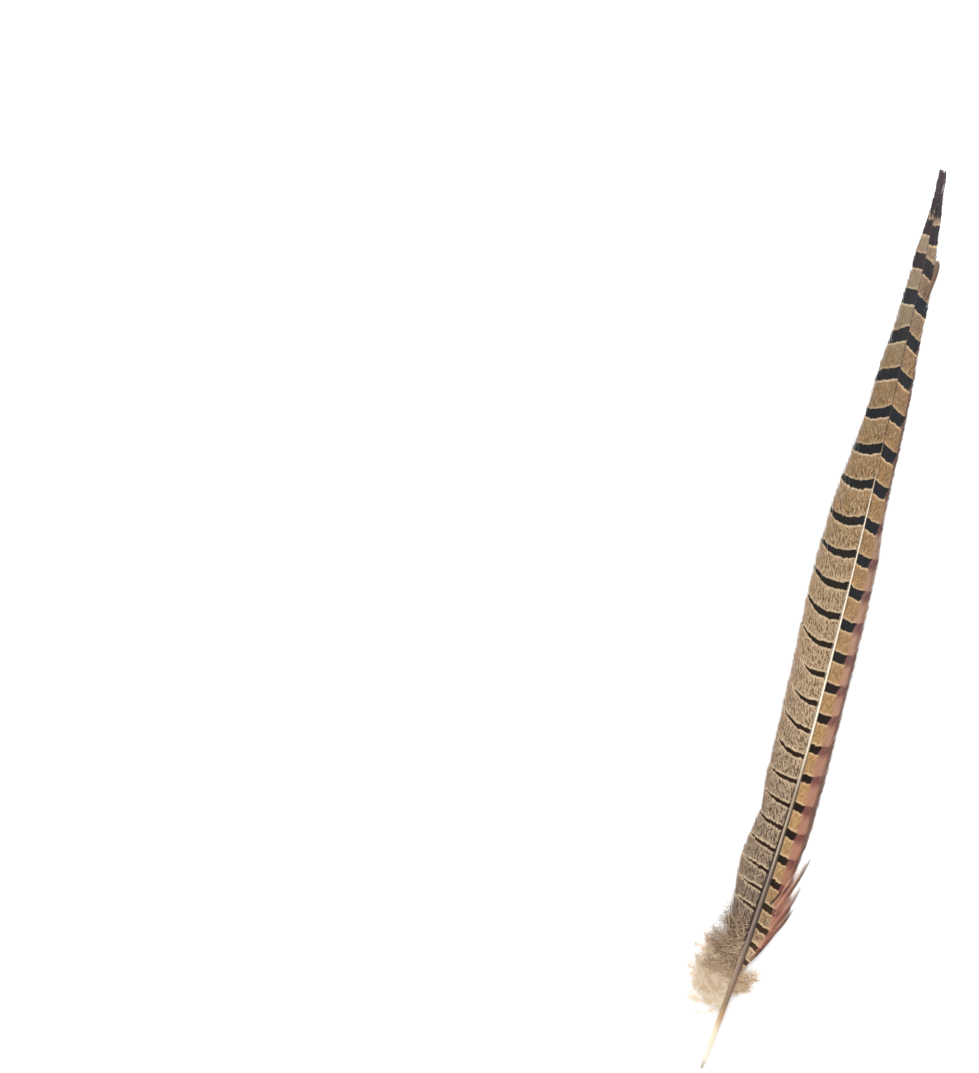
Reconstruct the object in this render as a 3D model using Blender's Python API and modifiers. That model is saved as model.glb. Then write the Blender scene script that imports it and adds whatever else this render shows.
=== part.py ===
"""A cock pheasant's tail feather, lying on its underside. Metres, +Z up.

It is one grown piece: a horny shaft, bare at the quill, two vanes parted into locks along their
edges, and loose down where the vanes begin. The straight line from the quill's point to the tip
runs along +Y. The patterned face is up, and the feather rests at z = 0 on its tip, on the broad
side's down and on a lock that has come away from the narrow vane. The rest of it arches over the
surface. The broad vane is on the -X side.

A place on the feather is given by three numbers: the distance along the shaft from the quill's
point, the distance out from the shaft's middle, and the side, which is -1 for the broad vane and
+1 for the narrow one.
"""

import math

import bmesh
import bpy
import numpy as np

MM = 0.001
BROAD, NARROW = -1, 1

# The shaft, seen from above and from the side.
LENGTH = 400 * MM  # along the shaft, from the quill's point to the tip
CHORD = 399.5 * MM  # straight across
ARCH = 3.6 * MM  # how much higher the middle of the shaft stands than its ends
CLEAR = 0.4 * MM  # how far all else stays off the surface
TIP_COMES_DOWN = (340 * MM, 366 * MM)  # between these distances the tip settles on the surface
LINE_X = -4.74 * MM  # where the straight line lies, so that the feather's box is centred on X
SHAFT_BOW = (  # (distance, how far the shaft stands to +X of the straight line) in mm
    (0, 0), (30, 2.6), (60, 4.65), (100, 7.0), (140, 8.05), (200, 7.45), (260, 6.05),
    (320, 4.05), (370, 2.2), (400, 0),
)  # fmt: skip
SHAFT_STEP = 8 * MM
SHAFT_SIDES = 12
SHAFT_RADIUS = (  # (distance, radius) in mm: the quill's point, the thickest stretch, the tip
    (0, 0.45), (4, 0.8), (14, 1.1), (30, 1.15), (45, 1.4), (61, 1.65), (80, 1.45),
    (110, 1.25), (160, 1.05), (220, 0.9), (290, 0.65), (350, 0.45), (400, 0.28),
)  # fmt: skip

# The vanes: (distance of the edge point, its distance from the shaft) in mm.
BROAD_EDGE = (
    (64, 11.4), (78, 12.6), (95, 13.9), (116, 11.8), (128, 13.5), (150, 14.3), (177, 14.9),
    (205, 16.0), (225, 16.2), (246, 15.3), (263, 13.5), (293, 9.8), (314, 8.4), (331, 6.4),
    (349, 5.1), (366, 4.2), (381, 2.3), (400, 1.3),
)  # fmt: skip
NARROW_EDGE = (
    (66, 12.6), (73, 13.4), (80, 12.0), (92, 10.3), (105, 11.0), (125, 10.6), (185, 10.5),
    (203, 9.9), (228, 9.2), (246, 7.8), (293, 7.4), (306, 7.0), (323, 6.0), (350, 5.2),
    (374, 3.2), (388, 2.4), (400, 1.5),
)  # fmt: skip
VANE_THICKNESS = 0.5 * MM
FIRST_ROOT, LAST_ROOT = 44 * MM, 392.5 * MM  # the lowest and highest barbs leave the shaft here
SWEEP_LOW, SWEEP_TIP = 2.05, 5.5  # how far a barb reaches forward, as a multiple of its reach out
SWEEP_STRAIGHT = 0.6  # this share of the reach forward is even, and the rest comes near the edge
VANE_DROOP = {BROAD: 4.2 * MM, NARROW: 3.6 * MM}  # from the shaft down to an edge that hangs free
DROOP_POWER = 1.5
LOCKS = 40  # to each side
LOCK_NOTCH = 0.7 * MM  # how far the edge steps in between two locks
VANE_COLUMNS = 6  # faces from the shaft to the edge

# The down, from the lowest lock of each tuft to its highest.
DOWN_ROOTS = {BROAD: (21 * MM, 42 * MM), NARROW: (33 * MM, 43 * MM)}
DOWN_OUT = {  # (share of the way up, reach out in mm)
    BROAD: ((0, 8), (0.35, 15), (0.7, 17.5), (1, 17)),
    NARROW: ((0, 6), (0.4, 9.5), (1, 9)),
}
DOWN_FORWARD = {  # (share of the way up, reach forward in mm)
    BROAD: ((0, 1.5), (0.5, 8), (1, 17)),
    NARROW: ((0, 1), (0.5, 4), (1, 8)),
}
DOWN_LOCKS = {BROAD: 7, NARROW: 4}
DOWN_OVERLAP = 0.3 * MM  # how far each tuft reaches past the shaft's middle
DOWN_NOTCH = 0.38  # the share of a lock's length that stands free
DOWN_COLUMNS = 4
DOWN_THICKNESS = 1.4 * MM
DOWN_DROOP = 3.2 * MM
DOWN_BELLY = 6.0  # how steeply the broad tuft's underside rises to each side of its middle lock

# Locks that stand off the narrow vane's edge: (distance, distance out, height of the underside) in
# mm, from root to tip. The feather rests on the first.
STRAY_LOCKS = (
    ((72, 8.0, 1.5), (82, 11.2, 0.0), (92, 13.9, 0.0), (101.5, 15.7, 0.4)),
    ((66, 9.0, 1.3), (74, 12.2, 0.6), (81, 14.2, 0.4), (88, 15.4, 0.4)),
    ((58, 7.0, 1.8), (65, 10.8, 0.8), (71, 13.4, 0.5), (77.5, 15.1, 0.4)),
    ((344, 3.4, 1.5), (350, 4.7, 0.6), (356, 5.3, 0.4), (362, 5.4, 0.4)),
)
STRAY_RADIUS = (0.55 * MM, 0.65 * MM, 0.5 * MM, 0.22 * MM)
STRAY_SIDES = 8

FEATHER_COLOUR = (0.50, 0.36, 0.22, 1.0)
FEATHER_ROUGHNESS = 0.6


def curve_through(points, x):
    """The height at x of a smooth curve through (x, height) points that doesn't overshoot them."""
    xs, ys = np.array(points, float).T
    gaps = np.diff(xs)
    slopes = np.diff(ys) / gaps
    same_way = slopes[:-1] * slopes[1:] > 0
    tangents = np.zeros(len(xs))
    tangents[1:-1][same_way] = (2 * slopes[:-1] * slopes[1:] / (slopes[:-1] + slopes[1:] + 1e-12))[same_way]
    tangents[0], tangents[-1] = slopes[0], slopes[-1]
    x = min(max(x, xs[0]), xs[-1])
    i = min(int(np.searchsorted(xs, x, "right")) - 1, len(gaps) - 1)
    t = (x - xs[i]) / gaps[i]
    return float(
        (1 + 2 * t) * (1 - t) ** 2 * ys[i]
        + t * (1 - t) ** 2 * gaps[i] * tangents[i]
        + t * t * (3 - 2 * t) * ys[i + 1]
        + t * t * (t - 1) * gaps[i] * tangents[i + 1]
    )


def mm_curve(points, distance):
    """The same, for points in mm and a distance in metres."""
    return curve_through(points, distance / MM) * MM


def shaft_radius(along):
    return mm_curve(SHAFT_RADIUS, along)


def clearance(along):
    """How far the underside stays off the surface at this distance."""
    start, end = TIP_COMES_DOWN
    return CLEAR * (1 - min(max((along - start) / (end - start), 0.0), 1.0))


def shaft_height(along):
    """The height of the shaft's middle, whose underside is lowest at both ends."""
    rise = ARCH * math.sin(math.pi * min(along / LENGTH, 1.0))
    return shaft_radius(along) + clearance(along) + rise


def shaft_x(along):
    return LINE_X + mm_curve(SHAFT_BOW, along)


def place(along, out, side):
    """World X and Y of a place on the feather."""
    step = 1 * MM
    lean = math.atan2(shaft_x(along + step) - shaft_x(along - step), 2 * step)
    x = shaft_x(along) + side * out * math.cos(lean)
    y = CHORD * (along / LENGTH - 0.5) - side * out * math.sin(lean)
    return x, y


def half_width(along, side):
    return mm_curve(BROAD_EDGE if side == BROAD else NARROW_EDGE, along)


def sweep(root):
    """How far the barb at this root reaches forward, as a multiple of its reach out."""
    share = (root - FIRST_ROOT) / (LAST_ROOT - FIRST_ROOT)
    return SWEEP_LOW + (SWEEP_TIP - SWEEP_LOW) * share**8


def barb_reach(root, side):
    """How far out the barb that leaves the shaft at root ends, on the vane's edge."""
    reach = half_width(root, side)
    for _ in range(30):
        reach = 0.5 * (reach + half_width(root + sweep(root) * reach, side))
    return reach


def barb_place(root, side, share):
    """(distance, distance out) of the point this share of the way along a barb."""
    reach = barb_reach(root, side)
    forward = SWEEP_STRAIGHT * share + (1 - SWEEP_STRAIGHT) * share**2.4
    return root + sweep(root) * reach * forward, reach * share


def vane_underside(root, side, share):
    hung = shaft_height(root) + 0.1 * shaft_radius(root) - VANE_DROOP[side] * share**DROOP_POWER
    along, _ = barb_place(root, side, share)
    return max(clearance(along), hung)


def vane_point(across, up, row):
    """The point of the vanes' underside at across, -1 to 1, on the barb this share of the way up."""
    side = BROAD if across < 0 else NARROW
    root = FIRST_ROOT + (LAST_ROOT - FIRST_ROOT) * up
    between_locks = row % 2 == 0
    notch = LOCK_NOTCH * min(1.0, barb_reach(root, side) / (6 * MM)) if between_locks else 0.0
    share = abs(across) * (1 - notch / barb_reach(root, side))
    x, y = place(*barb_place(root, side, share), side)
    return x, y, vane_underside(root, side, share)


def down_point(side, outward, up, row):
    """The same for one tuft of down, whose locks stand free for part of their length."""
    share = outward * (1 - DOWN_NOTCH if row % 2 == 0 else 1)
    first, last = DOWN_ROOTS[side]
    root = first + (last - first) * up
    out = curve_through(DOWN_OUT[side], up) * MM * share - DOWN_OVERLAP
    along = root + curve_through(DOWN_FORWARD[side], up) * MM * share**1.3
    x, y = place(along, out, side)
    underside = shaft_height(root) - 0.5 * DOWN_THICKNESS - DOWN_DROOP * share
    belly = CLEAR * min(1.0, DOWN_BELLY * abs(up - 0.5)) if side == BROAD else CLEAR
    return x, y, max(belly, underside)


def clear_scene():
    for obj in list(bpy.data.objects):
        bpy.data.objects.remove(obj, do_unlink=True)


def make_collection(name):
    collection = bpy.data.collections.new(name)
    bpy.context.scene.collection.children.link(collection)
    return collection


def make_material(name, colour, roughness):
    material = bpy.data.materials.new(name)
    material.use_nodes = True
    shader = material.node_tree.nodes["Principled BSDF"]
    shader.inputs["Base Color"].default_value = colour
    shader.inputs["Roughness"].default_value = roughness
    shader.inputs["Metallic"].default_value = 0.0
    return material


def tapered_rod(name, points, radii, sides, collection):
    """A closed round rod through the points, as a mesh object."""
    curve = bpy.data.curves.new(name + "_line", "CURVE")
    curve.dimensions = "3D"
    curve.bevel_depth = 1.0
    curve.bevel_resolution = sides // 2 - 2
    curve.use_fill_caps = True
    spline = curve.splines.new("POLY")
    spline.points.add(len(points) - 1)
    for spline_point, point, radius in zip(spline.points, points, radii):
        spline_point.co = (*point, 1.0)
        spline_point.radius = radius
    line = bpy.data.objects.new(name + "_line", curve)
    collection.objects.link(line)
    graph = bpy.context.evaluated_depsgraph_get()
    mesh = bpy.data.meshes.new_from_object(line.evaluated_get(graph))
    mesh.name = name
    rod = bpy.data.objects.new(name, mesh)
    rod.matrix_world = line.matrix_world
    collection.objects.link(rod)
    bpy.data.objects.remove(line, do_unlink=True)
    weld(mesh)
    return rod


def weld(mesh):
    """Joins the caps of a rod to its sides."""
    shape = bmesh.new()
    shape.from_mesh(mesh)
    bmesh.ops.remove_doubles(shape, verts=shape.verts, dist=0.001 * MM)
    bmesh.ops.recalc_face_normals(shape, faces=shape.faces)
    shape.to_mesh(mesh)
    shape.free()


def thick_sheet(name, point_of, columns, rows, thickness, collection):
    """A sheet whose underside point_of(across, up, row) gives, thickened upwards."""
    shape = bmesh.new()
    bmesh.ops.create_grid(shape, x_segments=columns, y_segments=rows, size=1.0)
    for vertex in shape.verts:
        up = (vertex.co.y + 1) / 2
        vertex.co = point_of(round(vertex.co.x, 4), up, round(up * rows))
    shape.normal_update()
    facing_down = sum(face.normal.z for face in shape.faces) < 0
    if facing_down:
        bmesh.ops.reverse_faces(shape, faces=shape.faces)
    mesh = bpy.data.meshes.new(name)
    shape.to_mesh(mesh)
    shape.free()
    sheet = bpy.data.objects.new(name, mesh)
    collection.objects.link(sheet)
    solidify = sheet.modifiers.new("thickness", "SOLIDIFY")
    solidify.thickness = thickness
    solidify.offset = 1.0
    return sheet


def make_shaft(collection):
    """The quill and the rachis, in one rod that tapers to both ends."""
    count = round(LENGTH / SHAFT_STEP)
    stops = [0.0, 0.25 * SHAFT_STEP, 0.6 * SHAFT_STEP] + [i * SHAFT_STEP for i in range(1, count + 1)]
    points = [(*place(along, 0.0, NARROW), shaft_height(along)) for along in stops]
    radii = [shaft_radius(along) for along in stops]
    return tapered_rod("feather", points, radii, SHAFT_SIDES, collection)


def make_vanes(collection):
    """Both vanes in one sheet that runs through the shaft."""
    return thick_sheet("vanes", vane_point, 2 * VANE_COLUMNS, 2 * LOCKS, VANE_THICKNESS, collection)


def make_down(name, side, collection):
    """The tuft of down on one side of the shaft."""

    def point_of(across, up, row):
        return down_point(side, (across + 1) / 2, up, row)

    rows = 2 * DOWN_LOCKS[side]
    return thick_sheet(name, point_of, DOWN_COLUMNS, rows, DOWN_THICKNESS, collection)


def make_stray_locks(collection):
    """The locks that have come away from the narrow vane's edge."""
    locks = []
    for number, route in enumerate(STRAY_LOCKS, 1):
        points = []
        for (along, out, underside), radius in zip(route, STRAY_RADIUS):
            x, y = place(along * MM, out * MM, NARROW)
            points.append((x, y, underside * MM + radius))
        name = f"stray_lock_{number}"
        locks.append(tapered_rod(name, points, STRAY_RADIUS, STRAY_SIDES, collection))
    return locks


def fuse(body, others):
    """Grows the others into the body, so that the feather is one solid."""
    for other in others:
        other.hide_render = True
        other.display_type = "WIRE"
        union = body.modifiers.new("grow_" + other.name, "BOOLEAN")
        union.operation = "UNION"
        union.solver = "EXACT"
        union.object = other


def main():
    clear_scene()
    parts = make_collection("pheasant_tail_feather")
    grown_on = make_collection("grown_on")
    grown_on.hide_render = True
    feather = make_shaft(parts)
    vanes = make_vanes(grown_on)
    broad_down = make_down("broad_down", BROAD, grown_on)
    narrow_down = make_down("narrow_down", NARROW, grown_on)
    fuse(feather, [vanes, broad_down, narrow_down, *make_stray_locks(grown_on)])
    material = make_material("barred_feather", FEATHER_COLOUR, FEATHER_ROUGHNESS)
    feather.data.materials.clear()
    feather.data.materials.append(material)
    feather.data.shade_smooth()


main()
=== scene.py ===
"""How the pheasant tail feather looks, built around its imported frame.

The shaft, the barbs of both vanes, the down and the stray locks are meshes that stand in place of
the one solid. A place on the feather is given by the distance along the shaft from the quill's
point and the signed distance across it, which is negative on the broad vane, at -X. Both are in mm
here, and so is everything else until a mesh or a light is made.
"""

import math

import bpy
import numpy as np
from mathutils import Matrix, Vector


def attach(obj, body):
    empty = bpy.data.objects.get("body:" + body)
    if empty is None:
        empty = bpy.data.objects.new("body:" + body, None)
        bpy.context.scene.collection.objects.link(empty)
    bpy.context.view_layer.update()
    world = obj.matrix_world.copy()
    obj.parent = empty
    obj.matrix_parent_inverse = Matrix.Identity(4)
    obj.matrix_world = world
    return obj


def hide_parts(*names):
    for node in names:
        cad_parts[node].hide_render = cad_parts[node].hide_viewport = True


MM = 0.001
UP = (0.0, 0.0, 1.0)
BROAD, NARROW = -1, 1

# The feather's plan and side view, as in the part.
LENGTH = 400.0
CHORD = 399.5
ARCH = 3.6
CLEAR = 0.4
TIP_COMES_DOWN = (340.0, 366.0)
LINE_X = -4.74
SHAFT_BOW = (
    (0, 0), (30, 2.6), (60, 4.65), (100, 7.0), (140, 8.05), (200, 7.45), (260, 6.05),
    (320, 4.05), (370, 2.2), (400, 0),
)  # fmt: skip
SHAFT_RADIUS = (
    (0, 0.45), (4, 0.8), (14, 1.1), (30, 1.15), (45, 1.4), (61, 1.65), (80, 1.45),
    (110, 1.25), (160, 1.05), (220, 0.9), (290, 0.65), (350, 0.45), (400, 0.28),
)  # fmt: skip
EDGE = {
    BROAD: (
        (64, 11.4), (78, 12.6), (95, 13.9), (116, 11.8), (128, 13.5), (150, 14.3), (177, 14.9),
        (205, 16.0), (225, 16.2), (246, 15.3), (263, 13.5), (293, 9.8), (314, 8.4), (331, 6.4),
        (349, 5.1), (366, 4.2), (381, 2.3), (400, 1.3),
    ),
    NARROW: (
        (66, 12.6), (73, 13.4), (80, 12.0), (92, 10.3), (105, 11.0), (125, 10.6), (185, 10.5),
        (203, 9.9), (228, 9.2), (246, 7.8), (293, 7.4), (306, 7.0), (323, 6.0), (350, 5.2),
        (374, 3.2), (388, 2.4), (400, 1.5),
    ),
}  # fmt: skip
FIRST_ROOT, LAST_ROOT = 44.0, 392.5
SWEEP_LOW, SWEEP_TIP = 2.05, 5.5
SWEEP_STRAIGHT = 0.6
VANE_DROOP = {BROAD: 4.2, NARROW: 3.6}
DROOP_POWER = 1.5
DOWN_ROOTS = {BROAD: (21.0, 42.0), NARROW: (33.0, 43.0)}
DOWN_OUT = {BROAD: ((0, 8), (0.35, 15), (0.7, 17.5), (1, 17)), NARROW: ((0, 6), (0.4, 9.5), (1, 9))}
DOWN_FORWARD = {BROAD: ((0, 1.5), (0.5, 8), (1, 17)), NARROW: ((0, 1), (0.5, 4), (1, 8))}
DOWN_THICKNESS = 1.4
DOWN_DROOP = 3.2
STRAY_LOCKS = (  # (distance along, distance out on the narrow side, height of the underside)
    ((72, 8, 1.5), (82, 11.2, 0), (92, 13.9, 0), (101.5, 15.7, 0.4)),
    ((66, 9, 1.3), (74, 12.2, 0.6), (81, 14.2, 0.4), (88, 15.4, 0.4)),
    ((58, 7, 1.8), (65, 10.8, 0.8), (71, 13.4, 0.5), (77.5, 15.1, 0.4)),
    ((344, 3.4, 1.5), (350, 4.7, 0.6), (356, 5.3, 0.4), (362, 5.4, 0.4)),
)
STRAY_RADIUS = (0.55, 0.65, 0.5, 0.22)

# The photograph: its size in pixels, and where the feather's ends lie in it.
PHOTO_WIDTH, PHOTO_HEIGHT = 979, 1073
QUILL_PIXEL = (701.6, 1069.5)
TIP_PIXEL = (943.3, 169.5)
LENS, SENSOR = 85.0, 36.0
SHARP_HEIGHT = 3.0  # the level at which the picture has the feather's true scale


def curve_through(points, x):
    """The height at each x of a smooth curve through (x, height) points that doesn't overshoot."""
    xs, ys = np.array(points, float).T
    gaps = np.diff(xs)
    slopes = np.diff(ys) / gaps
    same_way = slopes[:-1] * slopes[1:] > 0
    sums = np.where(same_way, slopes[:-1] + slopes[1:], 1.0)
    tangents = np.zeros(len(xs))
    tangents[1:-1] = np.where(same_way, 2 * slopes[:-1] * slopes[1:] / sums, 0.0)
    tangents[0], tangents[-1] = slopes[0], slopes[-1]
    x = np.clip(x, xs[0], xs[-1])
    i = np.clip(np.searchsorted(xs, x, "right") - 1, 0, len(gaps) - 1)
    t = (x - xs[i]) / gaps[i]
    return (
        (1 + 2 * t) * (1 - t) ** 2 * ys[i]
        + t * (1 - t) ** 2 * gaps[i] * tangents[i]
        + t * t * (3 - 2 * t) * ys[i + 1]
        + t * t * (t - 1) * gaps[i] * tangents[i + 1]
    )


def smooth_step(low, high, x):
    t = np.clip((x - low) / (high - low), 0.0, 1.0)
    return t * t * (3 - 2 * t)


def shaft_radius(along):
    return curve_through(SHAFT_RADIUS, along)


def clearance(along):
    start, end = TIP_COMES_DOWN
    return CLEAR * (1 - np.clip((along - start) / (end - start), 0.0, 1.0))


def shaft_height(along):
    rise = ARCH * np.sin(np.pi * np.clip(along / LENGTH, 0.0, 1.0))
    return shaft_radius(along) + clearance(along) + rise


def shaft_x(along):
    return LINE_X + curve_through(SHAFT_BOW, along)


def shaft_lean(along):
    return np.arctan2(shaft_x(along + 1.0) - shaft_x(along - 1.0), 2.0)


def place(along, across):
    """World X and Y, in mm, of a place on the feather."""
    lean = shaft_lean(along)
    x = shaft_x(along) + across * np.cos(lean)
    y = CHORD * (along / LENGTH - 0.5) - across * np.sin(lean)
    return x, y


def half_width(along, side):
    return curve_through(EDGE[side], along)


def sweep(root):
    """How far a barb goes toward the tip for each mm that it goes out."""
    share = (root - FIRST_ROOT) / (LAST_ROOT - FIRST_ROOT)
    return SWEEP_LOW + (SWEEP_TIP - SWEEP_LOW) * share**8


def barb_reach(root, side):
    """How far out the barb from this root ends, on the edge at the place that it sweeps to."""
    reach = half_width(root, side)
    for _ in range(30):
        reach = 0.5 * (reach + half_width(root + sweep(root) * reach, side))
    return reach


# --- meshes ---------------------------------------------------------------------------------


def make_piece(name, points, faces, material, values, vectors=None, uv=None):
    """A smooth mesh object that rides with the feather and stands in its place.

    points are in mm, faces is a list of arrays with one face to a row, values and vectors are the
    attributes that the material reads, and uv has one place for each corner of the faces.
    """
    mesh = bpy.data.meshes.new(name)
    mesh.vertices.add(len(points))
    mesh.vertices.foreach_set("co", (np.asarray(points) * MM).astype(np.float32).ravel())
    corners = np.concatenate([np.asarray(group).ravel() for group in faces])
    counts = np.concatenate([np.full(len(group), group.shape[1]) for group in faces])
    mesh.loops.add(len(corners))
    mesh.loops.foreach_set("vertex_index", corners.astype(np.int32))
    mesh.polygons.add(len(counts))
    starts = np.concatenate([[0], np.cumsum(counts)[:-1]])
    mesh.polygons.foreach_set("loop_start", starts.astype(np.int32))
    for attribute, numbers in values.items():
        layer = mesh.attributes.new(attribute, "FLOAT", "POINT")
        layer.data.foreach_set("value", np.asarray(numbers, np.float32).ravel())
    for attribute, numbers in (vectors or {}).items():
        layer = mesh.attributes.new(attribute, "FLOAT_VECTOR", "POINT")
        layer.data.foreach_set("vector", np.asarray(numbers, np.float32).ravel())
    if uv is not None:
        layer = mesh.uv_layers.new(name="OFBake")
        layer.uv.foreach_set("vector", np.asarray(uv, np.float32).ravel())
    mesh.update(calc_edges=True)
    mesh.shade_smooth()
    mesh.materials.append(material)
    piece = bpy.data.objects.new(name, mesh)
    bpy.context.scene.collection.objects.link(piece)
    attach(piece, "root")
    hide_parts("feather")


def unit(vectors):
    return vectors / np.maximum(np.linalg.norm(vectors, axis=-1, keepdims=True), 1e-9)


def strands(lines, widths, heights, profile, left=None):
    """Closed thin strips along many lines, side by side in one mesh.

    lines is (strands, stops, 3). profile is the outline across a strand as (side, up) pairs, scaled
    by widths and heights, which are (strands, stops). left is its side axis, which lies flat unless
    given, left of the way that the strand runs. Returns the points, as (strands, stops, corners, 3),
    and the faces.
    """
    count, stops, _ = lines.shape
    corners = len(profile)
    ahead = unit(np.gradient(lines, axis=1))
    if left is None:
        left = unit(np.cross(UP, ahead))
    above = unit(np.cross(ahead, left))
    points = np.stack(
        [
            lines + left * (side * widths)[..., None] + above * (rise * heights)[..., None]
            for side, rise in profile
        ],
        axis=2,
    )
    numbers = np.arange(count * stops * corners).reshape(count, stops, corners)
    here, there = numbers[:, :-1], numbers[:, 1:]
    sides = np.stack([here, there, np.roll(there, -1, axis=2), np.roll(here, -1, axis=2)], axis=-1)
    caps = np.concatenate([numbers[:, 0], numbers[:, -1][:, ::-1]])
    return points, [sides.reshape(-1, 4), caps]


# --- the vanes ------------------------------------------------------------------------------

BARB_PITCH = 0.55  # between the roots of two barbs
BARB_STOPS = 25
BARB_OVERLAP = 1.35  # how much wider a barb with its barbules is than the space it has
BARB_OUTLINE = ((-1.0, -0.35), (0.15, -1.0), (1.0, 0.1), (-0.1, 0.6))  # edge, keel, edge, ridge
BARB_ENDS = (-0.9, 0.35)  # how far past the shaft's end the barbs nearest the tip may end
FIRST_BARB = {BROAD: 44.0, NARROW: 46.0}
LAST_BARB = 397.5
FRINGE = {  # how far the barbs' loose ends reach past the edge, by where they end along the shaft
    BROAD: ((0, 0.0), (400, 0.0)),
    NARROW: (
        (70, 0.35), (95, 0.5), (118, 0.9), (138, 0.7), (155, 0.35), (190, 0.35), (208, 0.75), (238, 0.75),
        (256, 0.35), (400, 0.35),
    ),
}  # fmt: skip
LOOSE_BELOW = {BROAD: 60.0, NARROW: 46.5}  # from here to the first barb they come apart
BARB_THICKNESS = 0.11
VANE_RISE = 0.22  # the barbs' middle above the solid's underside
BARB_TAPER = 0.6  # how much narrower and thinner a barb is at its end
SPLIT_PULL = 2.6  # how far from a split its pull on the barbs fades, along the shaft
SPLIT_STEPS, LAST_SPLIT = (4.0, 17.0), 352.0
SPLIT_DEPTHS, SPLIT_GAPS = (0.55, 0.93), (0.15, 0.9)
SPLIT_WIDTH = {BROAD: 0.8, NARROW: 1.6}
FOOT_SPLITS = (  # in the narrow vane beside the stray locks, each as vane_splits gives it
    (47.2, 0.55, 0.9), (52.6, 0.6, 1.3), (58.4, 0.52, 1.6), (64.3, 0.55, 1.5), (70.5, 0.62, 1.2),
)  # fmt: skip
RIDGE_HALF_WIDTH = (  # how much of the shaft the barbs leave bare, to each side
    (44, 1.3), (61, 1.38), (74, 1.3), (88, 1.14), (100, 0.97), (112, 0.88), (125, 0.76), (138, 0.6),
    (151, 0.47), (177, 0.36), (207, 0.26), (254, 0.17), (300, 0.13), (400, 0.12),
)  # fmt: skip
FORWARD_POWER = 2.4  # of the barbs' turn toward the tip
EVEN_ENDS = (340.0, 380.0)  # along the shaft, where their ends become less ragged
DRAWN_IN = (366.0, 386.0)  # where they are drawn in to the tip
TIP_SPREAD = {BROAD: (0.05, 0.85), NARROW: (0.1, 1.15)}  # least and most, as shares of their reach
CLOSEST_PAST, SPREAD_BEFORE = (392.0, 386.0), 0.5  # and how much larger the least is before it
FLAT_AT_TIP = (350.0, 390.0)  # where they stop leaning, and have twice the least room
BARB_ROOM = (0.12, 0.6)  # the least and the most from one barb to the next
MOST_LEAN = 0.6
LOWEST_BARB = 0.16
TIP_LOOP = (377.8, 383.0)  # the narrow vane's barbs that bow out from the tip and back to it
TIP_LOOP_OUT = ((0, 0.2), (0.35, 1.75), (0.5, 2.1), (0.8, 2.2), (0.93, 1.95), (1, 1.5))


def vane_height(root, side, share, out):
    """The height of the middle of a barb: over the shaft's shoulder, then down to the edge."""
    hung = shaft_height(root) + 0.1 * shaft_radius(root) - VANE_DROOP[side] * share**DROOP_POWER
    radius = shaft_radius(root)
    shoulder = shaft_height(root) + np.sqrt(np.maximum(radius**2 - out**2, 0.0)) + 0.02
    over_shaft = np.where(out < radius, shoulder, 0.0)
    along = root + sweep(root) * barb_reach(root, side) * share
    return np.maximum(np.maximum(hung, clearance(along)) + VANE_RISE, over_shaft)


def vane_splits(side, rng):
    """Where a vane is parted: (root, share of the barb from which it is open, gap at the edge)."""
    splits, root = [], FIRST_ROOT + 6.0
    if side == NARROW:
        splits += FOOT_SPLITS
        root = FOOT_SPLITS[-1][0] + 7.0
    while root < LAST_SPLIT:
        depth = rng.uniform(*SPLIT_DEPTHS)
        gap = rng.uniform(*SPLIT_GAPS) * (1.15 - depth) * SPLIT_WIDTH[side]
        splits.append((root, depth, gap))
        root += rng.uniform(*SPLIT_STEPS)
    return splits


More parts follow.
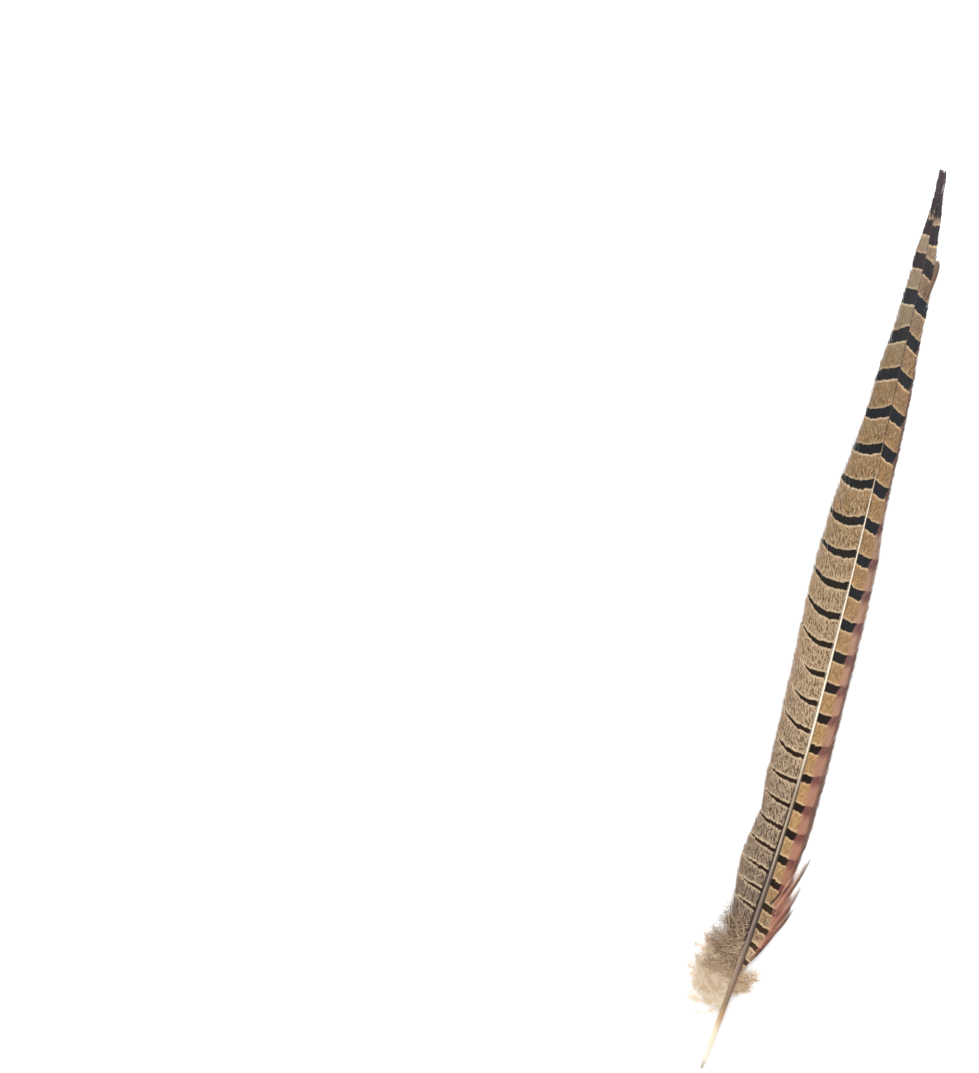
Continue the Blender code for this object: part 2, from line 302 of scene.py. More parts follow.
def barb_lines(side, rng):
    """The middle lines of one vane's barbs, and where each of their points is on the feather.

    The latter are the barb's root, the distances along and out, the share of the barb, and how
    near the point is to one of the splits beside the stray locks.
    """
    first = FIRST_BARB[side]
    count = round((LAST_BARB - first) / BARB_PITCH)

    def uneven(size):
        return rng.normal(0.0, size, (count, 1))

    root = (first + BARB_PITCH * (np.arange(count) + rng.uniform(-0.12, 0.12, count)))[:, None]
    share = np.linspace(0.0, 1.0, BARB_STOPS)[None, :]
    reach = barb_reach(root, side)
    loose = smooth_step(LOOSE_BELOW[side], first, root)
    drawn_in = smooth_step(*DRAWN_IN, root)
    fringe = curve_through(FRINGE[side], root + sweep(root) * reach)
    ragged = 1 + uneven(0.012) + fringe / reach * (1 - drawn_in)
    ragged = ragged + 0.3 / reach * uneven(0.6) * (1 - smooth_step(*EVEN_ENDS, root))
    ragged = ragged - loose * rng.uniform(0.0, 0.45, (count, 1))

    forward = SWEEP_STRAIGHT * share + (1 - SWEEP_STRAIGHT) * share**FORWARD_POWER
    start = 0.95 * curve_through(RIDGE_HALF_WIDTH, root)
    out = start + (reach * ragged - start) * share
    least, most = TIP_SPREAD[side]
    spread = rng.uniform(least + SPREAD_BEFORE * smooth_step(*CLOSEST_PAST, root), most)
    out = out * (1 - drawn_in * (1 - spread) * share**0.6)
    ends = LENGTH + rng.uniform(*BARB_ENDS, (count, 1))
    along = root + forward * np.minimum(sweep(root) * reach * ragged, ends - root)
    along = along + loose * uneven(1.3) * share
    if side == NARROW:
        every_other = np.arange(count)[:, None] % 2 == 0
        in_loop = (root > TIP_LOOP[0]) & (root < TIP_LOOP[1]) & every_other
        bowed = curve_through(TIP_LOOP_OUT, share) + uneven(0.06) * share
        out = np.where(in_loop, bowed, out)
        along = np.where(in_loop, root + forward * (ends - root), along)

    parting = np.zeros((count, BARB_STOPS))
    for split, depth, gap in vane_splits(side, rng):
        past_it = root - split
        opened = np.clip((share - depth) / (1 - depth), 0.0, 1.0) ** 1.5
        pull = np.exp(-np.abs(past_it) / SPLIT_PULL)
        along = along + 0.5 * gap * np.sign(past_it) * pull * opened
        if (split, depth, gap) in FOOT_SPLITS:
            beside = smooth_step(-0.1, 0.3, past_it) * smooth_step(2.1, 0.9, past_it)
            parting = np.maximum(parting, beside * smooth_step(depth - 0.12, depth + 0.1, share))
    along = along + uneven(0.06) * share**2
    x, y = place(along, side * out)
    height = vane_height(root, side, out / reach, out) + uneven(0.012) * share
    lines = np.stack([x, y, np.maximum(height, LOWEST_BARB)], axis=-1)
    return lines, root + 0 * share, along, out, share + 0 * root, parting


BARS = {  # (distance along the shaft, the number of the dark bar there, counted from the tip)
    BROAD: (
        (40, 26.8), (72.3, 23), (89.3, 21), (98.9, 20), (119.2, 18), (141.1, 16), (152.2, 15),
        (164.3, 14), (190.3, 12), (216.9, 10), (246, 8), (262, 7), (277.9, 6), (310.9, 4), (328.2, 3),
        (343.9, 2), (359.8, 1), (374.8, 0), (400, -1.76),
    ),
    NARROW: (
        (40, 25.4), (50.8, 24), (58.6, 23), (67.1, 22), (76, 21), (86.2, 20), (108.3, 18), (132.6, 16),
        (172.7, 13), (186.5, 12), (215.2, 10), (229.6, 9), (245.1, 8), (277, 6), (309.8, 4),
        (342.2, 2), (358, 1), (371.7, 0), (400, -1.9),
    ),
}  # fmt: skip
BAR_THICKNESS = {  # negative where there's no bar
    BROAD: (
        (64, -6.0), (68, -3.0), (70, 1.3), (72, 1.4), (89, 1.5), (100, 1.65), (130, 1.9), (147, 2.0),
        (165, 2.1), (178, 2.8), (190, 2.6), (203, 3.15), (217, 3.4), (231, 3.5), (245, 3.95), (261, 3.95),
        (277, 4.5), (294, 4.7), (310, 5.2), (327, 6.1), (344, 6.6), (360, 6.9), (400, 7.0),
    ),
    NARROW: (
        (50, 2.2), (65, 2.6), (75, 2.8), (86, 3.05), (107, 3.4), (132, 3.5), (158, 3.85), (186, 4.35),
        (214, 4.55), (228, 4.5), (244, 4.85), (260, 5.2), (275, 5.55), (324, 5.7), (341, 6.5),
        (357, 6.6), (371, 8.4), (400, 8.6),
    ),
}  # fmt: skip
BAR_REACH = {  # how far out the black of a bar goes
    BROAD: (
        (60, 8.6), (72, 9.6), (85, 10.8), (98, 13.4), (130, 13.0), (153, 14.4), (165, 13.0),
        (177, 10.4), (190, 14.5), (201, 17.4), (225, 20.0), (263, 18.0), (293, 18.0), (400, 24.0),
    ),
    NARROW: (
        (50, 4.6), (58, 5.2), (65, 7.4), (75, 6.5), (89, 5.7), (120, 5.6), (140, 5.2), (158, 6.0),
        (172, 6.4), (280, 6.5), (308, 6.4), (323, 5.8), (334, 7.5), (345, 9.0), (400, 9.0),
    ),
}  # fmt: skip
BAR_LEAN = {  # how far a bar leans toward the tip, by share of the way out
    BROAD: (
        (72, 3.0), (99, 2.4), (119, 0.9), (130, -0.3), (141, 0.2), (152, 0.9), (178, -1.0), (203, -3.0),
        (231, -4.9), (246, -6.0), (277, -5.2), (294, -5.4), (310, -3.0), (328, -3.4), (340, 0.0),
        (358, 0.4), (400, 0.0),
    ),
    NARROW: (
        (45, -7.0), (72, -5.8), (85, -4.3), (96, -3.4), (120, -2.9), (133, -1.4), (158, -1.4),
        (172, -2.0), (200, -2.8), (246, -3.7), (310, -3.8), (341, -2.6), (357, -2.2), (371, 0.5),
        (400, 0.5),
    ),
}  # fmt: skip
BAR_CURL = {  # and how much its outer end turns up toward the tip
    BROAD: (
        (72, 0.5), (110, 2.4), (130, 4.0), (150, 7.0), (190, 9.2), (217, 9.4), (231, 8.0), (246, 7.4),
        (261, 6.4), (277, 3.8), (294, 2.4), (310, -0.3), (328, 0), (400, 0),
    ),
    NARROW: ((50, 3.0), (200, 2.8), (246, 2.2), (300, 0.4), (400, 0)),
}  # fmt: skip


def bar_marks(side, along, out):
    """What the material needs to draw the dark bars at each point of the barbs."""
    share = out / half_width(along, side)
    lean = curve_through(BAR_LEAN[side], along) * share + curve_through(BAR_CURL[side], along) * share**3
    at = along - lean
    every = np.arange(40.0, 401.0)
    period = np.interp(at, every, -1 / np.gradient(curve_through(BARS[side], every)))
    reach = curve_through(BAR_REACH[side], along)
    half = 0.5 * curve_through(BAR_THICKNESS[side], at)
    if side == BROAD:
        half = np.where(half > 0, half * (1 - np.clip(out / reach, 0.0, 1.3) ** 3.0), half)
    phase = curve_through(BARS[side], at)
    return {"phase": phase, "period": period, "half": half, "past": out - reach}


def band_map(count, stops):
    """Where the corners of a vane's faces lie on its baked map.

    The barbs lie as bands across four columns, a quarter of them in each, with their upper faces in
    the left of a column and their lower faces in the right of it.
    """
    columns, margin = 4, 0.04
    per_column = -(-count // columns)
    ranges = (np.arange(count), np.arange(stops - 1), np.arange(len(BARB_OUTLINE)))
    barb, stop, corner = np.meshgrid(*ranges, indexing="ij")
    left = (2 * (barb // per_column) + (corner < 2)) / (2 * columns)
    near = np.where(corner < 2, corner, 4 - corner) / 2
    far = np.where(corner < 2, corner + 1, 3 - corner) / 2

    def height(barb, offset):
        return (barb % per_column + 0.12 + 0.76 * offset) / per_column

    def spot(step, offset):
        u = left + (margin + (1 - 2 * margin) * (stop + step) / (stops - 1)) / (2 * columns)
        return np.stack([u, height(barb, offset)], -1)

    sides = np.stack([spot(0, near), spot(1, near), spot(1, far), spot(0, far)], axis=-2)
    barb = np.arange(count)[:, None]
    ends = []
    for step in (0.0, 1.0):
        at_end = margin + (1 - 2 * margin) * step + np.array([0.0, 0.01, 0.01, 0.0])
        u = (2 * (barb // per_column) + at_end) / (2 * columns)
        ends.append(np.stack([u, height(barb, np.array([0.0, 0.0, 1.0, 1.0]))], -1))
    return sides.reshape(-1, 4, 2), np.concatenate(ends)


MEAN_REACH = 6
FIRST_SOUND = MEAN_REACH + 2  # from this strand on, its mean and its neighbours' are whole


def moving_mean(numbers):
    """The mean of each strand's numbers with those of MEAN_REACH strands to both sides of it."""
    first, last = (end.repeat(MEAN_REACH, 0) for end in (numbers[:1], numbers[-1:]))
    padded = np.concatenate([first, numbers, last])
    total = np.cumsum(np.concatenate([np.zeros_like(padded[:1]), padded]), axis=0)
    span = 2 * MEAN_REACH + 1
    return (total[span:] - total[:-span]) / span


def lengths_along(lines):
    return np.cumsum(np.linalg.norm(np.diff(lines, axis=1, prepend=lines[:, :1]), axis=-1), axis=1)


def make_vane(name, side, material, seed):
    rng = np.random.default_rng(seed)
    lines, root, along, out, share, parting = barb_lines(side, rng)
    ahead = unit(np.gradient(lines, axis=1))
    to_next = np.gradient(moving_mean(lines), axis=0)
    room = np.linalg.norm(np.cross(to_next, ahead), axis=-1)
    room[:FIRST_SOUND] = room[FIRST_SOUND]

    # Each barb leans with the vane's slope, toward the height of the next one.
    flat = smooth_step(*FLAT_AT_TIP, root)
    lean = np.clip(side * moving_mean(to_next[..., 2]) / room, -MOST_LEAN, MOST_LEAN) * (1 - flat)
    left = unit(unit(np.cross(UP, ahead)) + lean[..., None] * np.array(UP))
    least, most = BARB_ROOM
    room = moving_mean(np.clip(room, least + least * flat, most))
    widths = 0.5 * BARB_OVERLAP * room * (1 - BARB_TAPER * smooth_step(0.95, 1.0, share))
    heights = BARB_THICKNESS * (1 - BARB_TAPER * share)
    outline = [(side * across, rise) for across, rise in BARB_OUTLINE]
    points, faces = strands(lines, widths, heights, outline, left)
    spots = band_map(*share.shape)
    if side == NARROW:
        faces = [group[:, ::-1] for group in faces]
        spots = [group[:, ::-1] for group in spots]
    uv = np.concatenate([group.reshape(-1, 2) for group in spots])

    def at_corners(numbers):
        return np.broadcast_to(numbers[..., None], points.shape[:3])

    values = {key: at_corners(numbers) for key, numbers in bar_marks(side, along, out).items()}
    values["along"] = at_corners(along / LENGTH)
    values["edge"] = at_corners(out / half_width(along, side))
    values["strand"] = at_corners(rng.uniform(0.0, 1.0, (len(root), 1)) + 0 * root)
    values["keel"] = np.broadcast_to((0.0, 1.0, 0.0, 0.0), points.shape[:3])
    if side == NARROW:
        values["parting"] = at_corners(parting)
    weave = np.stack(list(map(at_corners, (root / BARB_PITCH, lengths_along(lines), out))), axis=-1)
    make_piece(name, points.reshape(-1, 3), faces, material, values, {"weave": weave}, uv)


# --- the shaft ------------------------------------------------------------------------------

SHAFT_STEP = 1.5
SHAFT_SIDES = 24
QUILL_POINT = ((0.0, 0.25), (0.25, 0.7), (0.6, 0.9), (1.1, 1.0))  # (distance, share of the radius)
QUILL_TO_RACHIS = (44.0, 60.0)  # where the round quill turns into the squarer, grooved rachis
SQUARENESS = 0.05
GROOVE_DEPTH = 0.3  # of the radius, along the rachis's underside
GROOVE_SIDES = 0.55  # and how far below the middle it begins


def make_shaft(material):
    point_at, point_share = np.array(QUILL_POINT).T
    along = np.concatenate([point_at, np.arange(SHAFT_STEP, LENGTH + 0.01, SHAFT_STEP)])
    radius = shaft_radius(along)
    radius[: len(point_at)] *= point_share
    x, y = place(along, 0 * along)
    z = shaft_height(along)
    lean = shaft_lean(along)[:, None]
    angle = np.linspace(0.0, 2 * np.pi, SHAFT_SIDES, endpoint=False)
    below = np.clip(-np.sin(angle) - GROOVE_SIDES, 0.0, 1.0) / (1 - GROOVE_SIDES)
    rachis = smooth_step(*QUILL_TO_RACHIS, along)[:, None]
    squared = 1 + SQUARENESS * np.cos(4 * angle) * rachis
    across = radius[:, None] * np.cos(angle) * squared
    rise = radius[:, None] * np.sin(angle) * (squared - GROOVE_DEPTH * rachis * below)
    points = np.stack(
        [
            x[:, None] + across * np.cos(lean),
            y[:, None] - across * np.sin(lean),
            z[:, None] + rise,
        ],
        axis=-1,
    )
    stops = len(along)
    numbers = np.arange(stops * SHAFT_SIDES).reshape(stops, SHAFT_SIDES)
    here, there = numbers[:-1], numbers[1:]
    sides = np.stack([here, np.roll(here, -1, 1), np.roll(there, -1, 1), there], axis=-1)
    faces = [sides.reshape(-1, 4), np.stack([numbers[0, ::-1], numbers[-1]])]
    values = {
        "along": np.repeat(along / LENGTH, SHAFT_SIDES),
        "across": (across / radius[:, None]).ravel(),
    }
    lengthways = np.stack(
        [np.repeat(along, SHAFT_SIDES), np.tile(angle, stops), np.repeat(radius, SHAFT_SIDES)],
        axis=-1,
    )
    vectors = {"lengthways": lengthways}
    make_piece("shaft", points.reshape(-1, 3), faces, material, values, vectors)


# --- down and stray locks -------------------------------------------------------------------

THREAD = ((-1.0, -0.3), (1.0, -0.3), (0.0, 0.6))
LOWEST_HAIR, LOWEST_THREAD = 0.08, 0.06
DOWN_BARBS = {BROAD: 90, NARROW: 30}
DOWN_UP = {BROAD: (0.33, 1.0), NARROW: (0.2, 0.78)}  # where they are, from the tuft's foot to its top
DOWN_LENGTHS = {BROAD: (0.7, 1.04), NARROW: (0.35, 1.15)}  # of the solid's reach
DOWN_BEND = {BROAD: 0.0, NARROW: -0.7}  # how far the barbs turn, toward the quill if positive
DOWN_TONE = {
    BROAD: ((0, 0.2), (0.75, 0.24), (0.92, 0.36), (1, 0.64)),
    NARROW: ((0, 0.32), (1, 0.52)),
}
DOWN_BARB_STOPS = 14
BARBULE_GAP = 0.42
BARBULE_STOPS = 3
CURLS, CURL_STOPS = {BROAD: 700, NARROW: 90}, 9
CURL_LENGTHS, CURL_SIZE = (3.0, 8.5), {BROAD: 1.0, NARROW: 0.6}
LOOSE_BARBS, LOOSE_STOPS = 84, 16  # at the foot of the broad vane, between it and the down
LOOSE_ROOTS, LOOSE_LENGTHS = (40.0, 60.0), (9.0, 20.0)
ARCS, ARC_STOPS = 15, 20
ARC_ROOTS, ARC_LENGTHS = (52.0, 66.0), (10.0, 21.0)
WISPS, WISP_STOPS = 360, 12
WISP_ALONG, WISP_OUT, WISP_LENGTHS = (43.0, 72.0), (2.0, 15.0), (4.0, 11.0)


def rough_path(rng, along, out, heading, length, curl, stops, bend=0.0):
    """Paths that start at (along, out) and meander: (strands, stops) of each.

    heading is the way they set out, as an angle from the shaft's line toward the side, and bend is
    how far they all turn on their way.
    """
    count = len(along)
    t = np.linspace(0.0, 1.0, stops)
    turn = (bend + rng.normal(0.0, curl, (count, 1))) * t
    for waves in (0.7, 1.4, 2.6):
        start = rng.uniform(0.0, 1.0, (count, 1))
        swing = rng.normal(0.0, curl / waves, (count, 1))
        turn = turn + swing * (np.sin(2 * np.pi * (waves * t + start)) - np.sin(2 * np.pi * start))
    angle = heading[:, None] + turn
    step = length[:, None] / (stops - 1)
    ahead = np.cumsum(np.cos(angle) * step, axis=1) - np.cos(angle[:, :1]) * step
    aside = np.cumsum(np.sin(angle) * step, axis=1) - np.sin(angle[:, :1]) * step
    return along[:, None] + ahead, out[:, None] + aside


def in_world(side, along, out, height):
    x, y = place(along, side * out)
    return np.stack([x, y, np.maximum(height, LOWEST_HAIR)], axis=-1)


def down_spot(side, up, share):
    """Distance along and out, and the height of the pad's underside, at a place in a tuft of down."""
    first, last = DOWN_ROOTS[side]
    root = first + (last - first) * up
    along = root + curve_through(DOWN_FORWARD[side], up) * share**1.3
    under = shaft_height(root) - 0.5 * DOWN_THICKNESS - DOWN_DROOP * np.minimum(share, 1.0)
    return along, curve_through(DOWN_OUT[side], up) * share, np.maximum(under, 0.05)


def down_heading(side, up, share):
    forward = 1.3 * curve_through(DOWN_FORWARD[side], up) * np.maximum(share, 0.02) ** 0.3
    forward = forward * (0.4 + 0.6 * smooth_step(0.3, 0.75, up))
    return np.arctan2(curve_through(DOWN_OUT[side], up), forward)


def down_barbs(side, rng):
    """The lines of a tuft's barbs, and how far up the tuft each of them is."""
    count, stops, bend = DOWN_BARBS[side], DOWN_BARB_STOPS, DOWN_BEND[side]
    lowest, highest = DOWN_UP[side]
    up = lowest + (highest - lowest) * (np.arange(count) + rng.uniform(0, 1, count)) / count
    length = np.hypot(curve_through(DOWN_OUT[side], up), curve_through(DOWN_FORWARD[side], up))
    length = length * rng.uniform(*DOWN_LENGTHS[side], count)
    start, out, under = down_spot(side, up, 0.0 * up)
    heading = down_heading(side, up, 0.4 + 0.0 * up) + rng.normal(-0.04, 0.1, count)
    along, out = rough_path(rng, start, out + 0.3, heading, length, 0.32, stops, bend)
    share = np.linspace(0.0, 1.0, stops) * (length / length.max())[:, None]
    height = np.maximum(under[:, None] - DOWN_DROOP * share, 0.1) + rng.uniform(0.3, 0.9, (count, 1))
    return in_world(side, along, out, height), up


def curls(side, rng):
    """Curly threads strewn over a tuft, and how far up the tuft each of them is."""
    count, stops, bend = CURLS[side], CURL_STOPS, DOWN_BEND[side]
    up = rng.uniform(*DOWN_UP[side], count)
    share = rng.uniform(0.0, 0.92, count)
    along, out, under = down_spot(side, up, share)
    heading = down_heading(side, up, share) + rng.normal(0.0, 0.7, count)
    length = rng.uniform(*CURL_LENGTHS, count) * (1.15 - 0.7 * share) * CURL_SIZE[side]
    along, out = rough_path(rng, along, np.maximum(out, 0.4), heading, length, 0.8, stops, bend)
    above = rng.uniform(0.7, 1.3, (count, 1))
    tilt = rng.normal(0, 0.15, (count, 1))
    height = under[:, None] + above + tilt * np.linspace(0, 1, stops)
    return in_world(side, along, np.maximum(out, -0.2), height), up


def over_the_foot(along, out):
    """The height of the top of the down and of the vane's foot, on the broad side."""
    return np.maximum(shaft_height(along) + 0.3 - 3.8 * (np.maximum(out, 0) / 13.0) ** 1.4, 0.7)


def loose_barbs(rng):
    """Barbs that lie half open between the broad vane and the down, and the tone of each."""
    count = LOOSE_BARBS
    root = rng.uniform(*LOOSE_ROOTS, count)
    length = rng.uniform(*LOOSE_LENGTHS, count) * (1 - 0.35 * smooth_step(52.0, 59.0, root))
    heading = rng.normal(0.78, 0.18, count) + 0.4 * smooth_step(52.0, 41.0, root)
    along, out = rough_path(rng, root, np.full(count, 0.8), heading, length, 0.3, LOOSE_STOPS)
    t = np.linspace(0.0, 1.0, LOOSE_STOPS)
    top = shaft_height(root)[:, None] + 0.35 - 3.4 * t**1.2
    tone = rng.uniform(0.35, 0.78, count) - 0.3 * smooth_step(48.0, 40.0, root)
    height = np.maximum(top, 0.5) + rng.uniform(0.0, 0.6, (count, 1))
    return in_world(BROAD, along, out, height), tone


def arcs(rng):
    """Pale hairs that sweep from the foot of the vane back and out over the down."""
    along = rng.uniform(*ARC_ROOTS, ARCS)
    heading = rng.normal(2.3, 0.2, ARCS)
    length = rng.uniform(*ARC_LENGTHS, ARCS)
    along, out = rough_path(rng, along, np.ones(ARCS), heading, length, 0.25, ARC_STOPS, bend=-0.75)
    height = over_the_foot(along, out) + rng.uniform(0.6, 1.2, (ARCS, 1))
    return in_world(BROAD, along, np.maximum(out, 0.9), height)


def wisps(rng):
    """Long fine hairs that loop over the foot of the broad vane and the top of the down."""
    along = rng.uniform(*WISP_ALONG, WISPS)
    out = rng.uniform(*WISP_OUT, WISPS)
    keep = along < np.where(out < 11.5, 61.0 + 0.8 * out, 64.0)
    along, out = along[keep], out[keep]
    count = len(along)
    heading = rng.normal(1.1, 0.7, count)
    length = rng.uniform(*WISP_LENGTHS, count) * np.clip((20.0 - out) / 14.0, 0.4, 1.0)
    along, out = rough_path(rng, along, out, heading, length, 0.7, WISP_STOPS)
    height = over_the_foot(along, out) + rng.uniform(0.1, 0.7, (count, 1))
    return in_world(BROAD, along, np.maximum(out, 0.9), height)


def barbules(lines, tone, rng, reach):
    """Fine threads that leave each line to both sides, and the tone of each."""
    length = lengths_along(lines)[:, -1]
    per_side = np.maximum((length / BARBULE_GAP).astype(int), 1)
    strand = np.repeat(np.arange(len(lines)), 2 * per_side)
    share = rng.uniform(0.0, 1.0, len(strand))
    side = rng.choice((-1.0, 1.0), len(strand))
    step = share * (lines.shape[1] - 1)
    low = np.minimum(step.astype(int), lines.shape[1] - 2)
    part = (step - low)[:, None]
    start = lines[strand, low] * (1 - part) + lines[strand, low + 1] * part
    ahead = unit(lines[strand, low + 1] - lines[strand, low])
    left = unit(np.cross(UP, ahead))
    angle = rng.uniform(0.4, 1.5, len(strand))
    heading = ahead * np.cos(angle)[:, None] + left * (side * np.sin(angle))[:, None]
    heading[:, 2] += rng.normal(0.0, 0.12, len(strand))
    size = (rng.uniform(*reach, len(strand)) * (1 - 0.4 * share**2))[:, None, None]
    t = np.linspace(0.0, 1.0, BARBULE_STOPS)[None, :, None]
    bend = np.cross(heading, UP)[:, None] * rng.normal(0.0, 0.5, (len(strand), 1, 1)) * t**2
    threads = start[:, None] + (heading[:, None] * t + bend) * size
    threads[..., 2] = np.maximum(threads[..., 2], LOWEST_THREAD)
    return threads, tone[strand] + rng.normal(0.0, 0.05, len(strand))


def make_fluff(name, groups, material):
    """One mesh of strand groups, each of them (lines, half width at the root, tone of each strand).

    The map lays every strand at its tone, all over one another, since the tone gives the colour.
    """
    points, faces, spots, tones, ends, first = [], [], [], [], [], 0
    cap_faces, cap_spots = [], []
    for lines, width, tone in groups:
        count, stops = lines.shape[:2]
        share = np.linspace(0.0, 1.0, stops)[None, :]
        widths = width * (1 - 0.75 * share**1.5) + np.zeros((count, stops))
        group_points, (sides, caps) = strands(lines, widths, widths, THREAD)
        tone = np.clip(tone, 0.0, 1.0)
        points.append(group_points.reshape(-1, 3))
        faces.append(sides + first)
        cap_faces.append(caps + first)
        first += len(points[-1])
        tones.append(np.broadcast_to(tone[:, None, None], group_points.shape[:3]).ravel())
        ends.append(np.broadcast_to(share[..., None], group_points.shape[:3]).ravel())
        left = 0.02 + 0.95 * tone
        u = left[:, None, None, None] + np.array([0.0, 0.0, 0.012, 0.012])
        v = 0.02 + 0.95 * (np.arange(stops - 1)[:, None, None] + np.array([0, 1, 1, 0])) / (stops - 1)
        each_side = np.zeros((1, 1, len(THREAD), 1))
        u, v, _ = np.broadcast_arrays(u, v[None], each_side)
        spots.append(np.stack([u, v], -1).reshape(-1, 2))
        for end in (0.0, 1.0):
            u = left[:, None] + np.array([0.0, 0.012, 0.012])
            v = 0.02 + 0.94 * end + np.array([0.0, 0.0, 0.012])
            cap_spots.append(np.stack(np.broadcast_arrays(u, v[None]), -1).reshape(-1, 2))
    values = {"tone": np.concatenate(tones), "end": np.concatenate(ends)}
    uv = np.concatenate(spots + cap_spots)
    make_piece(name, np.concatenate(points), faces + cap_faces, material, values, uv=uv)


def make_down(name, side, material, seed):
    rng = np.random.default_rng(seed)
    lines, up = down_barbs(side, rng)
    tone = curve_through(DOWN_TONE[side], up) + rng.uniform(-0.2, 0.16, len(up))
    threads, thread_tone = barbules(lines, tone, rng, (1.0, 2.6))
    strewn, strewn_up = curls(side, rng)
    contrast = rng.choice((-0.24, 0.3), len(strewn_up)) + rng.uniform(-0.1, 0.1, len(strewn_up))
    strewn_tone = curve_through(DOWN_TONE[side], strewn_up) + contrast
    groups = [(lines, 0.09, tone), (threads, 0.055, thread_tone), (strewn, 0.09, strewn_tone)]
    make_fluff(name, groups, material)


def make_wisps(name, material, seed):
    rng = np.random.default_rng(seed)
    lines, tone = loose_barbs(rng)
    threads, thread_tone = barbules(lines, tone, rng, (0.8, 2.2))
    hairs = wisps(rng)
    pale = rng.uniform(0, 1, len(hairs)) < 0.36
    hairs[..., 2] += 0.4 * pale[:, None]
    pale_tone = rng.uniform(0.05, 0.4, len(hairs))
    dark_tone = rng.uniform(0.65, 1.0, len(hairs))
    hair_tone = np.where(pale, pale_tone, dark_tone)
    swept = arcs(rng)
    swept_tone = rng.uniform(0.0, 0.35, len(swept))
    groups = [
        (lines, 0.09, tone),
        (threads, 0.05, thread_tone),
        (hairs, 0.07, hair_tone),
        (swept, 0.09, swept_tone),
    ]
    make_fluff(name, groups, material)


LOCK_BARBS = 24
LOCK_STOPS = 18
LOCK_FAN = ((0, 0.8), (0.25, 2.2), (0.5, 2.3), (1, 2.9))  # how wide a lock is, by share of its length
PADDLE_FAN = ((0, 0.3), (0.45, 0.75), (0.8, 1.1), (1, 0.95))


def lock_lines(route, rng, paddle):
    """The barbs of one lock: fanned inward with staggered ends, or for a paddle, to both sides."""
    knots = np.array(route, float)
    at = np.linspace(0.0, 1.0, len(knots))
    spread = (np.arange(LOCK_BARBS) + 0.5)[:, None] / LOCK_BARBS
    begins = 0.0 if paddle else rng.uniform(0.0, 0.2, spread.shape) * spread
    t = begins + (1 - begins) * np.linspace(0.0, 1.0, LOCK_STOPS)[None, :]
    if paddle:
        length = 1 - 0.07 * (2 * spread - 1) ** 2 + rng.normal(0, 0.01, spread.shape)
        inward = (2 * spread - 1) * curve_through(PADDLE_FAN, t * length) - 0.45
    else:
        length = 1.02 - 0.36 * spread**0.8 + rng.normal(0, 0.05, spread.shape)
        inward = spread * curve_through(LOCK_FAN, t) + rng.normal(0, 0.05, spread.shape) * t
    along, out, under = (curve_through(list(zip(at, column)), t * length) for column in knots.T)
    radius = curve_through(list(zip(at, STRAY_RADIUS)), t * length)
    height = under + radius * (0.5 + 1.1 * rng.uniform(0, 1, spread.shape)) + 0.05
    return in_world(NARROW, along + 0.35 * inward, out - inward, height), spread[:, 0]


def make_stray_locks(material, seed):
    rng = np.random.default_rng(seed)
    groups = []
    for number, route in enumerate(STRAY_LOCKS):
        paddle = number == len(STRAY_LOCKS) - 1
        lines, spread = lock_lines(route, rng, paddle)
        width = 0.14 if paddle else 0.12 - 0.07 * spread[:, None]
        groups.append((lines, width, (number // 3 + 0.05 + 0.9 * spread) / 2))
    make_fluff("stray_locks", groups, material)


# --- materials ------------------------------------------------------------------------------


def colour(red, green, blue):
    """A linear colour from the 8-bit values that a screen shows."""
    shares = (red / 255, green / 255, blue / 255)
    return (*(c / 12.92 if c <= 0.04045 else ((c + 0.055) / 1.055) ** 2.4 for c in shares), 1.0)


def colours_at(*rows):
    """The stops of a colour ramp, from rows of (place, red, green, blue)."""
    return [(place, colour(*shade)) for place, *shade in rows]


